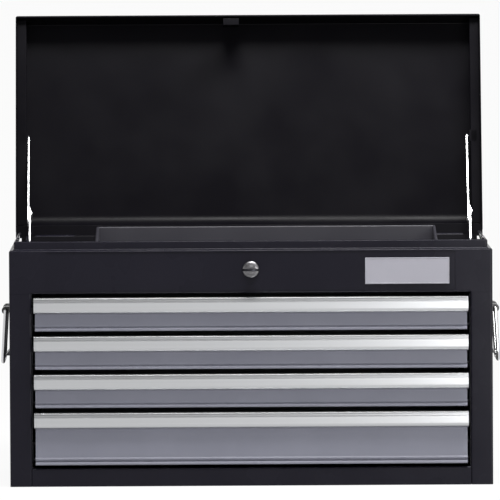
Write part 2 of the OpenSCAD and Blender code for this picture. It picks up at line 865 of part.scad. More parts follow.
// Pull trim over the top edge of a drawer face, hollow behind its front
module drawer_trim(i) {
    top = face_z(i) + face_hs[i];
    bottom = top - trim_h;
    front = front_y - trim_out;
    groove_y = front + trim_groove;
    bead = 1.4;
    round_at = [front + trim_r, bottom + trim_r];
    color("#c8caca") along_x(-face_x - trim_over, face_x + trim_over) difference() {
        union() {
            translate([groove_y, bottom + trim_r])
                square([trim_back + trim_out - trim_groove, trim_h - trim_r]);
            translate([front, bottom + trim_r]) square([trim_out, trim_h - trim_r - trim_band_h]);
            translate([front + trim_r, bottom]) square([trim_out - trim_r, trim_h]);
            translate(round_at) circle(r = trim_r);
            translate([groove_y - bead / 2, top - bead]) square([bead, bead]);
        }
        translate([front_y, bottom - 1]) square([trim_back + trim_r, trim_h - drawer_sheet + 1]);
        translate([front + trim_r, bottom + trim_wall])
            square([trim_out - trim_r + 1, trim_h - trim_band_h - 2 * trim_wall]);
        translate([front + trim_wall, bottom + trim_r])
            square([trim_out, trim_h - trim_r - trim_band_h - trim_wall]);
        translate(round_at) circle(r = trim_r - trim_wall);
    }
}

// Sliding channels on both sides of a drawer box, open towards the fixed ones
module drawer_runners(i) {
    z = slide_z(i);
    half = channel_h / 2 - slide_sheet - gap;
    tip_x = post_x - slide_sheet - gap;
    rear = box_front + drawer_d - 2;
    color("#b0b0b6") for (side = [-1, 1]) on_side(side) difference() {
        block([box_x, post_front + 1, z - half], [tip_x, rear, z + half]);
        block(
            [box_x + slide_sheet, post_front, z - half + slide_sheet],
            [tip_x + 1, rear + 1, z + half - slide_sheet]
        );
    }
}

// ---- The chest ----

side(-1);  // side_left
side(1);  // side_right
stile(-1);  // stile_left
stile(1);  // stile_right
header();
bottom_rail();
base();
back();
till_floor();
posts(-1);  // posts_left
posts(1);  // posts_right
slides(0);  // slides_1
slides(1);  // slides_2
slides(2);  // slides_3
slides(3);  // slides_4
hinge_leaf_body();
hinge_pin();
lock_housing();
label_plate();
handle_plate(-1);  // handle_plate_left
handle_plate(1);  // handle_plate_right
stay_anchor(-1);  // stay_anchor_left
stay_anchor(1);  // stay_anchor_right
lid_shell();
lid_end(-1);  // lid_end_left
lid_end(1);  // lid_end_right
lid_catch();
hinge_leaf_lid();
stay_ear(-1);  // stay_ear_left
stay_ear(1);  // stay_ear_right
upper_link(-1);  // stay_upper_left
upper_link(1);  // stay_upper_right
lower_link(-1);  // stay_lower_left
lower_link(1);  // stay_lower_right
lock_plug();
lock_cam();
lock_key();
bail(-1);  // bail_left
bail(1);  // bail_right
tray();
drawer_box(0);  // drawer_box_1
drawer_box(1);  // drawer_box_2
drawer_box(2);  // drawer_box_3
drawer_box(3);  // drawer_box_4
drawer_face(0);  // drawer_face_1
drawer_face(1);  // drawer_face_2
drawer_face(2);  // drawer_face_3
drawer_face(3);  // drawer_face_4
drawer_trim(0);  // drawer_trim_1
drawer_trim(1);  // drawer_trim_2
drawer_trim(2);  // drawer_trim_3
drawer_trim(3);  // drawer_trim_4
drawer_runners(0);  // drawer_runners_1
drawer_runners(1);  // drawer_runners_2
drawer_runners(2);  // drawer_runners_3
drawer_runners(3);  // drawer_runners_4
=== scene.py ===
# %% [markdown]
# # Dressing a machinist's top chest
#
# The chest is a cabinet of folded steel sheet with four drawers, a lid on a piano hinge and a
# loose tray in its top. Its construction comes packed as a fixed frame: one mesh for each part,
# each on the body that it moves with. The lesson dresses that frame. Sheet metal is what the
# eye meets, and sheet metal shows itself by its bends, so most pieces here start as one flat
# plane that is extruded strip by strip, rounded at its bends and then given its thickness.

# %% Load the frame
import json
import math

import bmesh
import bpy
from mathutils import Matrix, Vector


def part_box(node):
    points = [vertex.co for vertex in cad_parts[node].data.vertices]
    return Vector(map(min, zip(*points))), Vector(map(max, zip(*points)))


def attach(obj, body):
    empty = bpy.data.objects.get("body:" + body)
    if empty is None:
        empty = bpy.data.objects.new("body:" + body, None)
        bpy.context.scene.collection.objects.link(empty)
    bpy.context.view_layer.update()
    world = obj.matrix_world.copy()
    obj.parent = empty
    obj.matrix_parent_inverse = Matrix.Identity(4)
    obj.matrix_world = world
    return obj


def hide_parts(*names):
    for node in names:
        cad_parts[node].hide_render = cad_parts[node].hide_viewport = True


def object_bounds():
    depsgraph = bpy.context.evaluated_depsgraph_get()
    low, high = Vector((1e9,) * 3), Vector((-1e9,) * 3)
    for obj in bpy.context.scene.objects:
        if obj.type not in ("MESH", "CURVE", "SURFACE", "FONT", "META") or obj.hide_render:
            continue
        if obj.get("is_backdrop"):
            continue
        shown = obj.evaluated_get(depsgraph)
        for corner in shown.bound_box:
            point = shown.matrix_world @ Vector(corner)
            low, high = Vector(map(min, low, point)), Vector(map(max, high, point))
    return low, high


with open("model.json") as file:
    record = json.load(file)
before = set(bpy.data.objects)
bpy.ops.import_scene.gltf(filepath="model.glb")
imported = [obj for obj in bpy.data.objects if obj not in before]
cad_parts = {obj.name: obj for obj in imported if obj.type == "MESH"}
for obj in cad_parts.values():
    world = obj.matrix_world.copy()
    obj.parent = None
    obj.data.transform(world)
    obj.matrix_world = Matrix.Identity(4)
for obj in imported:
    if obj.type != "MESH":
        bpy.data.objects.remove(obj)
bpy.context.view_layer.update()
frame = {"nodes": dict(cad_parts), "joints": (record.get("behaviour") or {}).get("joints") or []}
nodes = frame["nodes"]
joints = {joint["name"]: joint for joint in frame["joints"]}
MM = 0.001

# %% [markdown]
# ## Camera
#
# The chest was photographed from far away with a long lens, from just above its own height, so
# its upright edges stay nearly parallel. A camera eleven metres off, with a field of view under
# four degrees, gives that look. The picture leans by a third of a degree, as a hand-held one does.

# %% Camera
CAMERA_DISTANCE = 11.0
CAMERA_AIM = Vector((0.0, 0.0, 0.3152))
CAMERA_ELEVATION = math.radians(2.63)
CAMERA_AZIMUTH = math.radians(0.32)
CAMERA_ROLL = math.radians(0.3)
FOCAL_PIXELS = 7945
IMAGE_PIXELS = 500
SENSOR = 36
VIEW_DEPTH = 200

bpy.ops.object.camera_add()
camera = bpy.context.object
camera.name = "camera"
away = Vector((
    -math.sin(CAMERA_AZIMUTH) * math.cos(CAMERA_ELEVATION),
    -math.cos(CAMERA_AZIMUTH) * math.cos(CAMERA_ELEVATION),
    math.sin(CAMERA_ELEVATION),
))
camera.location = CAMERA_AIM + away * CAMERA_DISTANCE
looking = (-away).to_track_quat("-Z", "Y").to_matrix().to_4x4()
camera.rotation_euler = (looking @ Matrix.Rotation(-CAMERA_ROLL, 4, "Z")).to_euler()
camera.data.sensor_width = SENSOR
camera.data.lens = SENSOR * FOCAL_PIXELS / IMAGE_PIXELS
camera.data.clip_end = VIEW_DEPTH
bpy.context.scene.camera = camera
bpy.context.scene.view_settings.view_transform = "Standard"
print("Field of view:", round(math.degrees(camera.data.angle), 2), "degrees")

# %% [markdown]
# ## White cove and lights
#
# A product is often shot in a white cove under a dark ceiling. Polished parts mirror the cove,
# and paint that faces upwards mirrors the ceiling and stays deep. The world shows that cove to
# the camera and in reflections only, so the background is white without throwing more light on
# the chest. A strip light hangs over the front and draws a line on each bend. A softbox stands
# at the right and is seen in reflections only, like a white card, so that the pulls run from
# grey to white along their length while the painted panels stay even.


# %% Helpers for colours and nodes
def linear(code):
    """The linear colour of an sRGB hex code such as #26262b."""
    channels = [int(code[i:i + 2], 16) / 255 for i in (1, 3, 5)]
    curve = [c / 12.92 if c <= 0.04045 else ((c + 0.055) / 1.055) ** 2.4 for c in channels]
    return (*curve, 1.0)


def add(tree, kind, settings=None, feeds=(), **links):
    """Adds a node, sets its values, and feeds its sockets in order or by name."""
    node = tree.nodes.new(kind)
    for name, value in (settings or {}).items():
        if hasattr(node, name):
            setattr(node, name, value)
        else:
            node.inputs[name].default_value = value
    for index, output in enumerate(feeds):
        if output:
            tree.links.new(output, node.inputs[index])
    for name, output in links.items():
        tree.links.new(output, node.inputs[name.replace("_", " ")])
    return node


def shown(tree):
    """1 for rays that show the background: from the camera, off gloss or through glass."""
    rays = add(tree, "ShaderNodeLightPath")
    mirrored = add(tree, "ShaderNodeMath", {"operation": "ADD", "use_clamp": True},
                   (rays.outputs["Is Camera Ray"], rays.outputs["Is Glossy Ray"]))
    either = add(tree, "ShaderNodeMath", {"operation": "ADD", "use_clamp": True},
                 (mirrored.outputs["Value"], rays.outputs["Is Transmission Ray"]))
    return either.outputs["Value"]


print("Mid grey #808080 is", round(linear("#808080")[0], 3), "of white in linear light")

# %% World
STUDIO_LEVEL = 0.75
CEILING_LEVEL = 0.15
CEILING_STARTS = 0.2
CEILING_FULL = 0.45
world = bpy.data.worlds.new("studio")
bpy.context.scene.world = world
world.use_nodes = True
sky = world.node_tree
sky.nodes.clear()
direction = add(sky, "ShaderNodeTexCoord")
height = add(sky, "ShaderNodeSeparateXYZ", Vector=direction.outputs["Generated"])
towards_ceiling = {"From Min": CEILING_STARTS, "From Max": CEILING_FULL,
                   "To Min": 1.0, "To Max": CEILING_LEVEL}
cove = add(sky, "ShaderNodeMapRange", towards_ceiling, Value=height.outputs["Z"])
level = add(sky, "ShaderNodeMix", {"A": STUDIO_LEVEL}, Factor=shown(sky), B=cove.outputs["Result"])
background = add(sky, "ShaderNodeBackground", {"Color": linear("#ffffff")},
                 Strength=level.outputs["Result"])
add(sky, "ShaderNodeOutputWorld", Surface=background.outputs["Background"])
print("World made of", len(sky.nodes), "nodes")


# %% Floor
def clear_selection():
    """Leaves edit mode, with nothing selected."""
    if bpy.context.object and bpy.context.object.mode != "OBJECT":
        bpy.ops.object.mode_set(mode="OBJECT")
    bpy.ops.object.select_all(action="DESELECT")


FLOOR_SIZE = 160
FLOOR_DROP = 0.4 * MM
PAPER_GLOW = 0.92
clear_selection()
bpy.ops.mesh.primitive_plane_add(size=FLOOR_SIZE, location=(0, 0, -FLOOR_DROP))
floor = bpy.context.object
floor.name = "floor"
# Matt white paper that shows as almost pure white behind the chest and still takes its shadow
paper = bpy.data.materials.new("white_paper_sweep")
paper.use_nodes = True
tree = paper.node_tree
tree.nodes.clear()
matte = add(tree, "ShaderNodeBsdfDiffuse", {"Color": linear("#d9d9d9")})
glow = add(tree, "ShaderNodeEmission", {"Color": linear("#ffffff"), "Strength": 1.0})
lit = add(tree, "ShaderNodeMixShader", {"Fac": PAPER_GLOW},
          (None, matte.outputs["BSDF"], glow.outputs["Emission"]))
paper_shader = add(tree, "ShaderNodeMixShader", None,
                   (shown(tree), matte.outputs["BSDF"], lit.outputs["Shader"]))
add(tree, "ShaderNodeOutputMaterial", Surface=paper_shader.outputs["Shader"])
floor.data.materials.append(paper)
floor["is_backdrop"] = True
print("Floor lies", round(FLOOR_DROP / MM, 1), "mm under the feet")


# %% Softboxes
def softbox(name, place, aim, size, watts):
    """A rectangular soft light that faces the point aim."""
    lamp = bpy.data.lights.new(name, "AREA")
    lamp.shape = "RECTANGLE"
    lamp.size, lamp.size_y = size
    lamp.energy = watts
    holder = bpy.data.objects.new(name, lamp)
    bpy.context.scene.collection.objects.link(holder)
    holder.location = place
    holder.rotation_euler = (Vector(aim) - Vector(place)).to_track_quat("-Z", "Y").to_euler()
    holder.visible_camera = False
    print(name, "is", round((Vector(aim) - Vector(place)).length, 2), "m from where it points")
    return holder


softbox("overhead_strip", place=(0.4, -0.58, 1.8), aim=(0.1, 0.0, 0.35), size=(1.5, 0.38), watts=58)
side_box = softbox("right_front_box", place=(0.62, -0.95, 0.3), aim=(0.2, 0, 0.25), size=(0.3, 0.6),
                   watts=8)
side_box.visible_diffuse = False

# %% [markdown]
# ## Paint and metal
#
# The cabinet is powder coated: sprayed with dry powder and baked, which leaves a satin skin with
# a faint orange-peel ripple. The drawer fronts have a metallic grey paint. The pulls are anodised
# aluminium pushed through a die, so fine lines run along them, and the stays are zinc plated.
# Each finish is one principled shader whose patterns lie on object coordinates, so they stay
# with the metal when a drawer slides. Noise mostly stays between 0.3 and 0.7, so each pattern is
# stretched from that range to the full span of the value that it drives.

# %% Patterns for the finishes
NOISE_RANGE = {"From Min": 0.3, "From Max": 0.7}


def surface(name, code, roughness, metallic=0.0, specular=0.5):
    """A principled material with its colour and gloss, and the tree to add patterns to."""
    made = bpy.data.materials.new(name)
    made.use_nodes = True
    tree = made.node_tree
    shader = tree.nodes["Principled BSDF"]
    shader.inputs["Base Color"].default_value = linear(code)
    shader.inputs["Roughness"].default_value = roughness
    shader.inputs["Metallic"].default_value = metallic
    shader.inputs["Specular IOR Level"].default_value = specular
    print(f"{name}: roughness {roughness}")
    return made, tree, shader


def ripple(tree, shader, spacing, depth, stretch=(1, 1, 1), detail=2):
    """A bump from noise whose features are spacing apart and depth high, in metres."""
    place = add(tree, "ShaderNodeTexCoord")
    turned = add(tree, "ShaderNodeMapping", {"Scale": stretch}, Vector=place.outputs["Object"])
    noise = add(tree, "ShaderNodeTexNoise", {"Scale": 1 / spacing, "Detail": detail},
                Vector=turned.outputs["Vector"])
    bump = add(tree, "ShaderNodeBump", {"Distance": depth, "Strength": 1.0}, Height=noise.outputs["Fac"])
    tree.links.new(bump.outputs["Normal"], shader.inputs["Normal"])
    return noise, turned


def vary(tree, shader, socket, source, low, high):
    """Drives a socket between low and high by a pattern."""
    span = add(tree, "ShaderNodeMapRange", {**NOISE_RANGE, "To Min": low, "To Max": high}, Value=source)
    tree.links.new(span.outputs["Result"], shader.inputs[socket])


def tint(tree, shader, source, dark, light):
    """Mixes the base colour between two hex colours by a pattern."""
    span = add(tree, "ShaderNodeMapRange", NOISE_RANGE, Value=source)
    blend = add(tree, "ShaderNodeMix", {"data_type": "RGBA"}, Factor=span.outputs["Result"])
    blend.inputs["A"].default_value = linear(dark)
    blend.inputs["B"].default_value = linear(light)
    tree.links.new(blend.outputs["Result"], shader.inputs["Base Color"])


# %% Paints
PEEL_SPACING = 2.2 * MM
PEEL_DEPTH = 0.006 * MM
CLOUD_SPACING = 80 * MM
THIN_SMOOTHER, THICK_ROUGHER = 0.04, 0.05


def powder_coat(name, code, dark, light, roughness, specular):
    """Baked powder paint: orange peel, and broad clouds where the powder lay thicker."""
    made, tree, shader = surface(name, code, roughness, specular=specular)
    noise, turned = ripple(tree, shader, PEEL_SPACING, PEEL_DEPTH)
    clouds = add(tree, "ShaderNodeTexNoise", {"Scale": 1 / CLOUD_SPACING, "Detail": 3},
                 Vector=turned.outputs["Vector"])
    tint(tree, shader, clouds.outputs["Fac"], dark, light)
    vary(tree, shader, "Roughness", clouds.outputs["Fac"],
         roughness - THIN_SMOOTHER, roughness + THICK_ROUGHER)
    return made


# Blue-black satin paint of the outside, which catches a soft line of light along each bend
cabinet_paint = powder_coat("cabinet_powder_coat", "#14131b", "#13121a", "#16151d",
                            roughness=0.26, specular=0.1)
# The same paint on the lid, made nearly black: a darker copy of the cabinet's coat, as painted shade on
# the lid
lid_paint = powder_coat("lid_coat_painted_shade", "#0a090d", "#09080c", "#0b0a0e",
                        roughness=0.32, specular=0.06)
# Thin dull coat on the insides, which keeps the till dark
inner_paint = powder_coat("inner_powder_coat", "#141317", "#131216", "#161519",
                          roughness=0.5, specular=0.1)
# Light grey on the drawer boxes and posts, as painted light: it lifts the shaded gaps between the drawers
# off pure black
gap_lifting_box_paint = powder_coat("drawer_box_coat_painted_light", "#57565c", "#55545a", "#59585e",
                        roughness=0.5, specular=0.3)
# Plain dark grey of the loose tray
tray_paint = powder_coat("tray_enamel", "#2f2e34", "#2d2c32", "#313036",
                         roughness=0.4, specular=0.3)
# Cool grey metallic paint of the drawer fronts
drawer_paint = powder_coat("drawer_metallic_paint", "#71727d", "#6f707b", "#73747f",
                           roughness=0.38, specular=0.2)
# Pale matt plate without any print
bare_plate = powder_coat("bare_label_plate", "#8b8a92", "#898890", "#8e8d95",
                         roughness=0.5, specular=0.2)
# Glossy black of the handle plates and their knuckles
handle_paint = powder_coat("handle_enamel", "#131317", "#121216", "#151519",
                           roughness=0.3, specular=0.5)

# %% Metals
LINE_SMOOTHER, LINE_ROUGHER = 0.05, 0.07
BELT_DEPTH = 0.003 * MM


def drawn_metal(name, code, dark, light, roughness, spacing, stretch=(1, 1, 1), depth=BELT_DEPTH):
    """Metal with fine lines from its die or its polishing belt, drawn coarser than they are."""
    made, tree, shader = surface(name, code, roughness, metallic=1.0)
    noise, turned = ripple(tree, shader, spacing, depth, stretch=stretch, detail=3)
    vary(tree, shader, "Roughness", noise.outputs["Fac"],
         roughness - LINE_SMOOTHER, roughness + LINE_ROUGHER)
    tint(tree, shader, noise.outputs["Fac"], dark, light)
    return made


# Satin silver of the pulls, with die lines that run their whole length
aluminium = drawn_metal("anodised_aluminium", "#b9babc", "#b6b7b9", "#bcbdbf", roughness=0.34,
                        spacing=0.9 * MM, stretch=(0.0003, 1, 1), depth=0.0006 * MM)
# Bright bluish white of the stays
zinc = drawn_metal("zinc_plate", "#e6e6e6", "#e0e0e2", "#ececec", roughness=0.32, spacing=3 * MM)
# Mirror-like handle rods, which show the white cove and the black cabinet side
chrome = drawn_metal("polished_chrome", "#c9c9cb", "#c6c6c8", "#cdcdcf", roughness=0.16,
                     spacing=6 * MM, depth=0.001 * MM)
# Warm grey of the plated lock, darkened all over as painted shade for the shadow that the key casts on it
lock_metal = drawn_metal("nickel_plated_zinc_casting", "#7a797b", "#727173", "#828183",
                         roughness=0.36, spacing=2 * MM)
# Dark oiled look of the slides, the hinge pin, the lock cam and the key
dull_steel = drawn_metal("dark_plated_steel", "#303034", "#2b2b2f", "#353539", roughness=0.42,
                         spacing=1.5 * MM, stretch=(0.2, 1, 1))

# %% [markdown]
# ## Folding sheet metal
#
# A folded part is one flat strip that turns at each bend. It could be drawn as a solid with
# rounded edges, but the two faces of a sheet would then drift apart at each bend. fold_sheet
# starts from a plane whose corners are put on the first strip, extrudes its last edge to each
# further corner of the section, rounds the bends with a bevel and gives the sheet its thickness
# with Solidify, away from the outer face. Because the bends are rounded before the thickness
# comes on, the inner and the outer radius differ by one sheet, as they do on a press brake. A
# finished piece is shaded smooth over its bends, and its normals are weighted by area, so that
# a wide flat panel still looks flat right up to the bend.

# %% Selecting
# How far from a plane a corner may lie and still count as on it, in mm
NEAR, CLOSE, ON = 1, 0.1, 0.01
SAME_POINT = 0.001


def take(piece):
    """Makes a piece the only selected and active one."""
    clear_selection()
    piece.select_set(True)
    bpy.context.view_layer.objects.active = piece


def select_parts(piece, kind, test):
    """Selects, in edit mode, the vertices, edges or faces whose corners all pass the test, in mm."""
    bpy.ops.mesh.select_mode(type=kind)
    bpy.ops.mesh.select_all(action="DESELECT")
    mesh = bmesh.from_edit_mesh(piece.data)
    found = 0
    for part in {"EDGE": mesh.edges, "FACE": mesh.faces, "VERT": mesh.verts}[kind]:
        corners = [part.co] if kind == "VERT" else [v.co for v in part.verts]
        if all(test(*(c / MM for c in corner)) for corner in corners):
            part.select = True
            found += 1
    mesh.select_flush_mode()
    bmesh.update_edit_mesh(piece.data)
    return found


print("A corner is near a plane within", NEAR, "mm, close within", CLOSE, "and on it within", ON)

# %% Bends and wall
BEND_ANGLE = 25
SQUARE_ONLY = 40
CUT_ANGLE = 60
EASED_EDGE = 0.35


def apply_modifier(piece, kind, **settings):
    """Adds a modifier, sets it and applies it."""
    take(piece)
    modifier = piece.modifiers.new(kind.lower(), kind)
    for name, value in settings.items():
        setattr(modifier, name, value)
    bpy.ops.object.modifier_apply(modifier=modifier.name)


def round_bends(piece, radius, segments=4, over=BEND_ANGLE):
    """Rounds every edge whose faces turn by more than the angle over."""
    apply_modifier(piece, "BEVEL", width=radius * MM, segments=segments, limit_method="ANGLE",
                   angle_limit=math.radians(over))


def face_outward(piece, inner=None):
    """Makes the normals agree, pointing away from the point inner on an open sheet."""
    take(piece)
    bpy.ops.object.mode_set(mode="EDIT")
    bpy.ops.mesh.select_all(action="SELECT")
    bpy.ops.mesh.normals_make_consistent(inside=False)
    bpy.ops.object.mode_set(mode="OBJECT")
    widest = max(piece.data.polygons, key=lambda face: face.area)
    if inner and widest.normal.dot(Vector(inner) * MM - widest.center) > 0:
        piece.data.flip_normals()


def thicken(piece, wall, inner, eased=EASED_EDGE):
    """Gives a sheet its wall, on the side where the point inner lies, and eases its cut edges."""
    face_outward(piece, inner)
    apply_modifier(piece, "SOLIDIFY", thickness=wall * MM, offset=-1, use_even_offset=True,
                   use_quality_normals=True)
    if eased:
        round_bends(piece, eased, segments=2, over=CUT_ANGLE)


print("Bends over", BEND_ANGLE, "degrees are rounded, and cut edges are eased by", EASED_EDGE, "mm")

# %% Finishing a piece
SMOOTH_ANGLE = 32
WEIGHT_BY_AREA = 80


def dress(piece, body, material, slot, *replaced, angle=SMOOTH_ANGLE):
    """Shades a finished piece, gives it its material and sets it on its body."""
    take(piece)
    bpy.ops.object.shade_smooth_by_angle(angle=math.radians(angle))
    apply_modifier(piece, "WEIGHTED_NORMAL", weight=WEIGHT_BY_AREA, keep_sharp=True)
    piece.data.materials.clear()
    piece.data.materials.append(material)
    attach(piece, body)
    if replaced:
        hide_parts(*replaced)
    print(f"{piece.name}: {len(piece.data.polygons)} faces, on {body}")
    return piece


print("Faces that meet at under", SMOOTH_ANGLE, "degrees are shaded as one surface")


# %% Starting and folding a sheet
def extrude(*step):
    """Extrudes what is selected by a step in mm."""
    bpy.ops.mesh.extrude_region_move(TRANSFORM_OT_translate={"value": Vector(step) * MM})


def start_plane(name, corners):
    """A plane with its four corners put in place, in mm."""
    clear_selection()
    bpy.ops.mesh.primitive_plane_add(size=1)
    piece = bpy.context.object
    piece.name = name
    for vertex, corner in zip(piece.data.vertices, corners):
        vertex.co = Vector(corner) * MM
    return piece


def cut_width(section):
    """How wide the flat strip is cut before it is folded along the section, in mm."""
    return sum(math.dist(before, after) for before, after in zip(section, section[1:]))


def fold_sheet(name, section, ends, lay, wall=0, bend=0, inner=None):
    """A strip folded along section, from ends[0] to ends[1]. lay(u, v, w) gives x, y, z in mm."""
    first, second = section[0], section[1]
    piece = start_plane(name, [lay(*first, ends[0]), lay(*first, ends[1]),
                               lay(*second, ends[0]), lay(*second, ends[1])])
    bpy.ops.object.mode_set(mode="EDIT")
    last_edge = [Vector(lay(*second, end)) for end in ends]
    select_parts(piece, "VERT",
                 lambda *corner: min((Vector(corner) - end).length for end in last_edge) < SAME_POINT)
    for before, after in zip(section[1:], section[2:]):
        extrude(*(Vector(lay(*after, 0)) - Vector(lay(*before, 0))))
    bpy.ops.object.mode_set(mode="OBJECT")
    if bend:
        round_bends(piece, bend)
    if wall:
        thicken(piece, wall, inner)
    print(f"{name}: cut {cut_width(section):.0f} mm wide, corners to fold: {len(section) - 2}")
    return piece


print("A 60 mm panel with a 12 mm fold is cut", cut_width([(0, 0), (60, 0), (60, 12)]), "mm wide")

# %% [markdown]
# ## Sizes
#
# The places of the panels are read from the frame, so that the dressed sheets stay on the solids
# that they cover. Only small forms that sheet metal gets on its way through the press, such as
# the height of the upstand and the depth of a fold, are given here as sizes of their own.

# %% Sizes read from the frame, in mm
body_low, body_high = (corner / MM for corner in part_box("side_right"))
SIDE_X = body_high.x
FRONT_Y, BACK_Y = body_low.y, body_high.y
RIM_TOP = body_high.z
opening_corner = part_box("bottom_rail")[1] / MM
OPENING_X, RAIL_TOP = opening_corner.x, opening_corner.z
HEADER_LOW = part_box("header")[0].z / MM
UPSTAND_HEIGHT = 12
UPSTAND_INSET = 6.5
LEDGE_Z = RIM_TOP - UPSTAND_HEIGHT
FOLD_DEPTH = 12
SHEET = 1.2
BASE_MIDDLE = (0, 0, 0)
DRAWERS = (1, 2, 3, 4)
print("Ledge at", round(LEDGE_Z, 1), "mm, drawer opening up to", round(HEADER_LOW, 1), "mm")

# %% [markdown]
# ## Cabinet shell
#
# Each side wall and its front stile are one sheet that turns the front corner and folds back
# into the drawer opening. Above the drawers a band runs round the front and both sides, steps
# in to a ledge and rises as the upstand that the lid closes over. The band is made from a cube
# with its top, bottom and back taken off, because its corners have to be folded in three
# directions at once. Two welded seams show where the header panel meets the corner gussets, and
# the upstand's top edge is rolled inwards, which hides the sharp cut and catches a line of light.

# %% Side walls with their stiles
BODY_BEND = 2.6


def upright(x, y, z):
    """Lays a section flat on the floor and runs it up."""
    return (x, y, z)


for side, label in ((-1, "left"), (1, "right")):
    section = [(side * OPENING_X, FRONT_Y + FOLD_DEPTH), (side * OPENING_X, FRONT_Y),
               (side * SIDE_X, FRONT_Y), (side * SIDE_X, BACK_Y)]
    wing = fold_sheet(f"cabinet_wall_{label}", section, ends=(0, HEADER_LOW), lay=upright,
                      wall=SHEET, bend=BODY_BEND, inner=BASE_MIDDLE)
    dress(wing, "cabinet", cabinet_paint, "cabinet_paint", f"side_{label}", f"stile_{label}")


# %% Band: front and sides of a cube
def block(name, low, high):
    """A box between two corners in mm."""
    clear_selection()
    bpy.ops.mesh.primitive_cube_add(size=1)
    piece = bpy.context.object
    piece.name = name
    low, high = Vector(low) * MM, Vector(high) * MM
    piece.scale = high - low
    piece.location = (low + high) / 2
    bpy.ops.object.transform_apply(location=True, rotation=True, scale=True)
    return piece


band = block("cabinet_band", (-SIDE_X, FRONT_Y, HEADER_LOW), (SIDE_X, BACK_Y, LEDGE_Z))
bpy.ops.object.mode_set(mode="EDIT")
for open_side in (lambda x, y, z: z > LEDGE_Z - NEAR, lambda x, y, z: z < HEADER_LOW + NEAR,
                  lambda x, y, z: y > BACK_Y - NEAR):
    select_parts(band, "FACE", open_side)
    bpy.ops.mesh.delete(type="FACE")
bpy.ops.object.mode_set(mode="OBJECT")
print("Band starts with", len(band.data.polygons), "faces of the cube")

# %% Band: ledge and upstand
# The upstand ends short of the back, clear of the corner of the shut lid
RIM_CUT_BACK = 19.5
EDGE_ROLL = 1.9
bpy.ops.object.mode_set(mode="EDIT")
select_parts(band, "EDGE", lambda x, y, z: z > LEDGE_Z - NEAR)
extrude(0, 0, 0)
bpy.ops.transform.resize(
    value=((SIDE_X - UPSTAND_INSET) / SIDE_X, 1 - UPSTAND_INSET / (BACK_Y - FRONT_Y), 1),
    center_override=(0, BACK_Y * MM, LEDGE_Z * MM))
extrude(0, 0, UPSTAND_HEIGHT - EDGE_ROLL)
select_parts(band, "VERT", lambda x, y, z: z > LEDGE_Z + NEAR and y > BACK_Y - NEAR)
bpy.ops.transform.translate(value=(0, -RIM_CUT_BACK * MM, 0))
bpy.ops.object.mode_set(mode="OBJECT")
print("Band has", len(band.data.polygons), "faces before its bends")

# %% Band: fold under the header, bends and seams
SEAM_X = 278
SEAM_WIDTH = 1.2
SEAM_DEPTH = 1.0
HEADER_BEND = 3


def header_edge(x, y, z):
    """True on the lower front edge of the band, between the stiles."""
    return z < HEADER_LOW + ON and y < FRONT_Y + ON and abs(x) < OPENING_X + ON


bpy.ops.object.mode_set(mode="EDIT")
for edge_x in (-OPENING_X, -SEAM_X - SEAM_WIDTH, -SEAM_X, SEAM_X, SEAM_X + SEAM_WIDTH, OPENING_X):
    select_parts(band, "FACE", lambda x, y, z: y < FRONT_Y + ON)
    bpy.ops.mesh.bisect(plane_co=(edge_x * MM, 0, 0), plane_no=(1, 0, 0))
select_parts(band, "EDGE", header_edge)
extrude(0, FOLD_DEPTH, 0)
select_parts(band, "EDGE", header_edge)
bpy.ops.mesh.bevel(offset=HEADER_BEND * MM, segments=5, affect="EDGES")
bpy.ops.object.mode_set(mode="OBJECT")
round_bends(band, BODY_BEND, over=SQUARE_ONLY)
bpy.ops.object.mode_set(mode="EDIT")
seams = select_parts(band, "FACE", lambda x, y, z: y < FRONT_Y + ON
                     and SEAM_X - CLOSE < abs(x) < SEAM_X + SEAM_WIDTH + CLOSE)
extrude(0, SEAM_DEPTH, 0)
bpy.ops.object.mode_set(mode="OBJECT")
print("Seams pressed:", seams)

# %% Band: roll the top edge inwards
ROLL_STEP, HALF_TURN = 30, 180
bpy.ops.object.mode_set(mode="EDIT")
select_parts(band, "EDGE", lambda x, y, z: z > RIM_TOP - EDGE_ROLL - ON)
reach_x, reach_y = SIDE_X - UPSTAND_INSET, BACK_Y - FRONT_Y - UPSTAND_INSET
moved_in, moved_up = 0, 0
for degrees in range(ROLL_STEP, HALF_TURN + 1, ROLL_STEP):
    turn = math.radians(degrees)
    step_in, step_up = EDGE_ROLL * (1 - math.cos(turn)), EDGE_ROLL * math.sin(turn)
    extrude(0, 0, step_up - moved_up)
    bpy.ops.transform.resize(
        value=((reach_x - step_in) / (reach_x - moved_in), (reach_y - step_in) / (reach_y - moved_in), 1),
        center_override=(0, BACK_Y * MM, RIM_TOP * MM))
    moved_in, moved_up = step_in, step_up
bpy.ops.object.mode_set(mode="OBJECT")
thicken(band, SHEET, BASE_MIDDLE)
dress(band, "cabinet", cabinet_paint, "cabinet_paint", "header")

# %% Bottom rail
RAIL_BEND = 2.8


def along_x(y, z, x):
    """Stands a section on its front edge and runs it along the chest."""
    return (x, y, z)


rail = fold_sheet("cabinet_bottom_rail",
                  [(FRONT_Y, 0), (FRONT_Y, RAIL_TOP), (FRONT_Y + FOLD_DEPTH, RAIL_TOP)],
                  ends=(-OPENING_X, OPENING_X), lay=along_x, wall=SHEET, bend=RAIL_BEND,
                  inner=BASE_MIDDLE)
dress(rail, "cabinet", cabinet_paint, "cabinet_paint", "bottom_rail")

# %% [markdown]
# ## Lid
#
# The lid is a shallow pan: a flat top, a front skirt, two ends and a back that leads down to the
# hinge. It is drawn shut, where its faces are square to the axes and its origin is the hinge
# axis, and is swung open once it is finished. The back turns with a wide bend, which holds the
# only highlight inside the open lid. That bend is made first, and the small outer corners after
# it. The skirt's lower edge is folded on itself, which is drawn as a rounded bar as thick as two
# sheets and the air between them, and an inward flange stiffens each end.

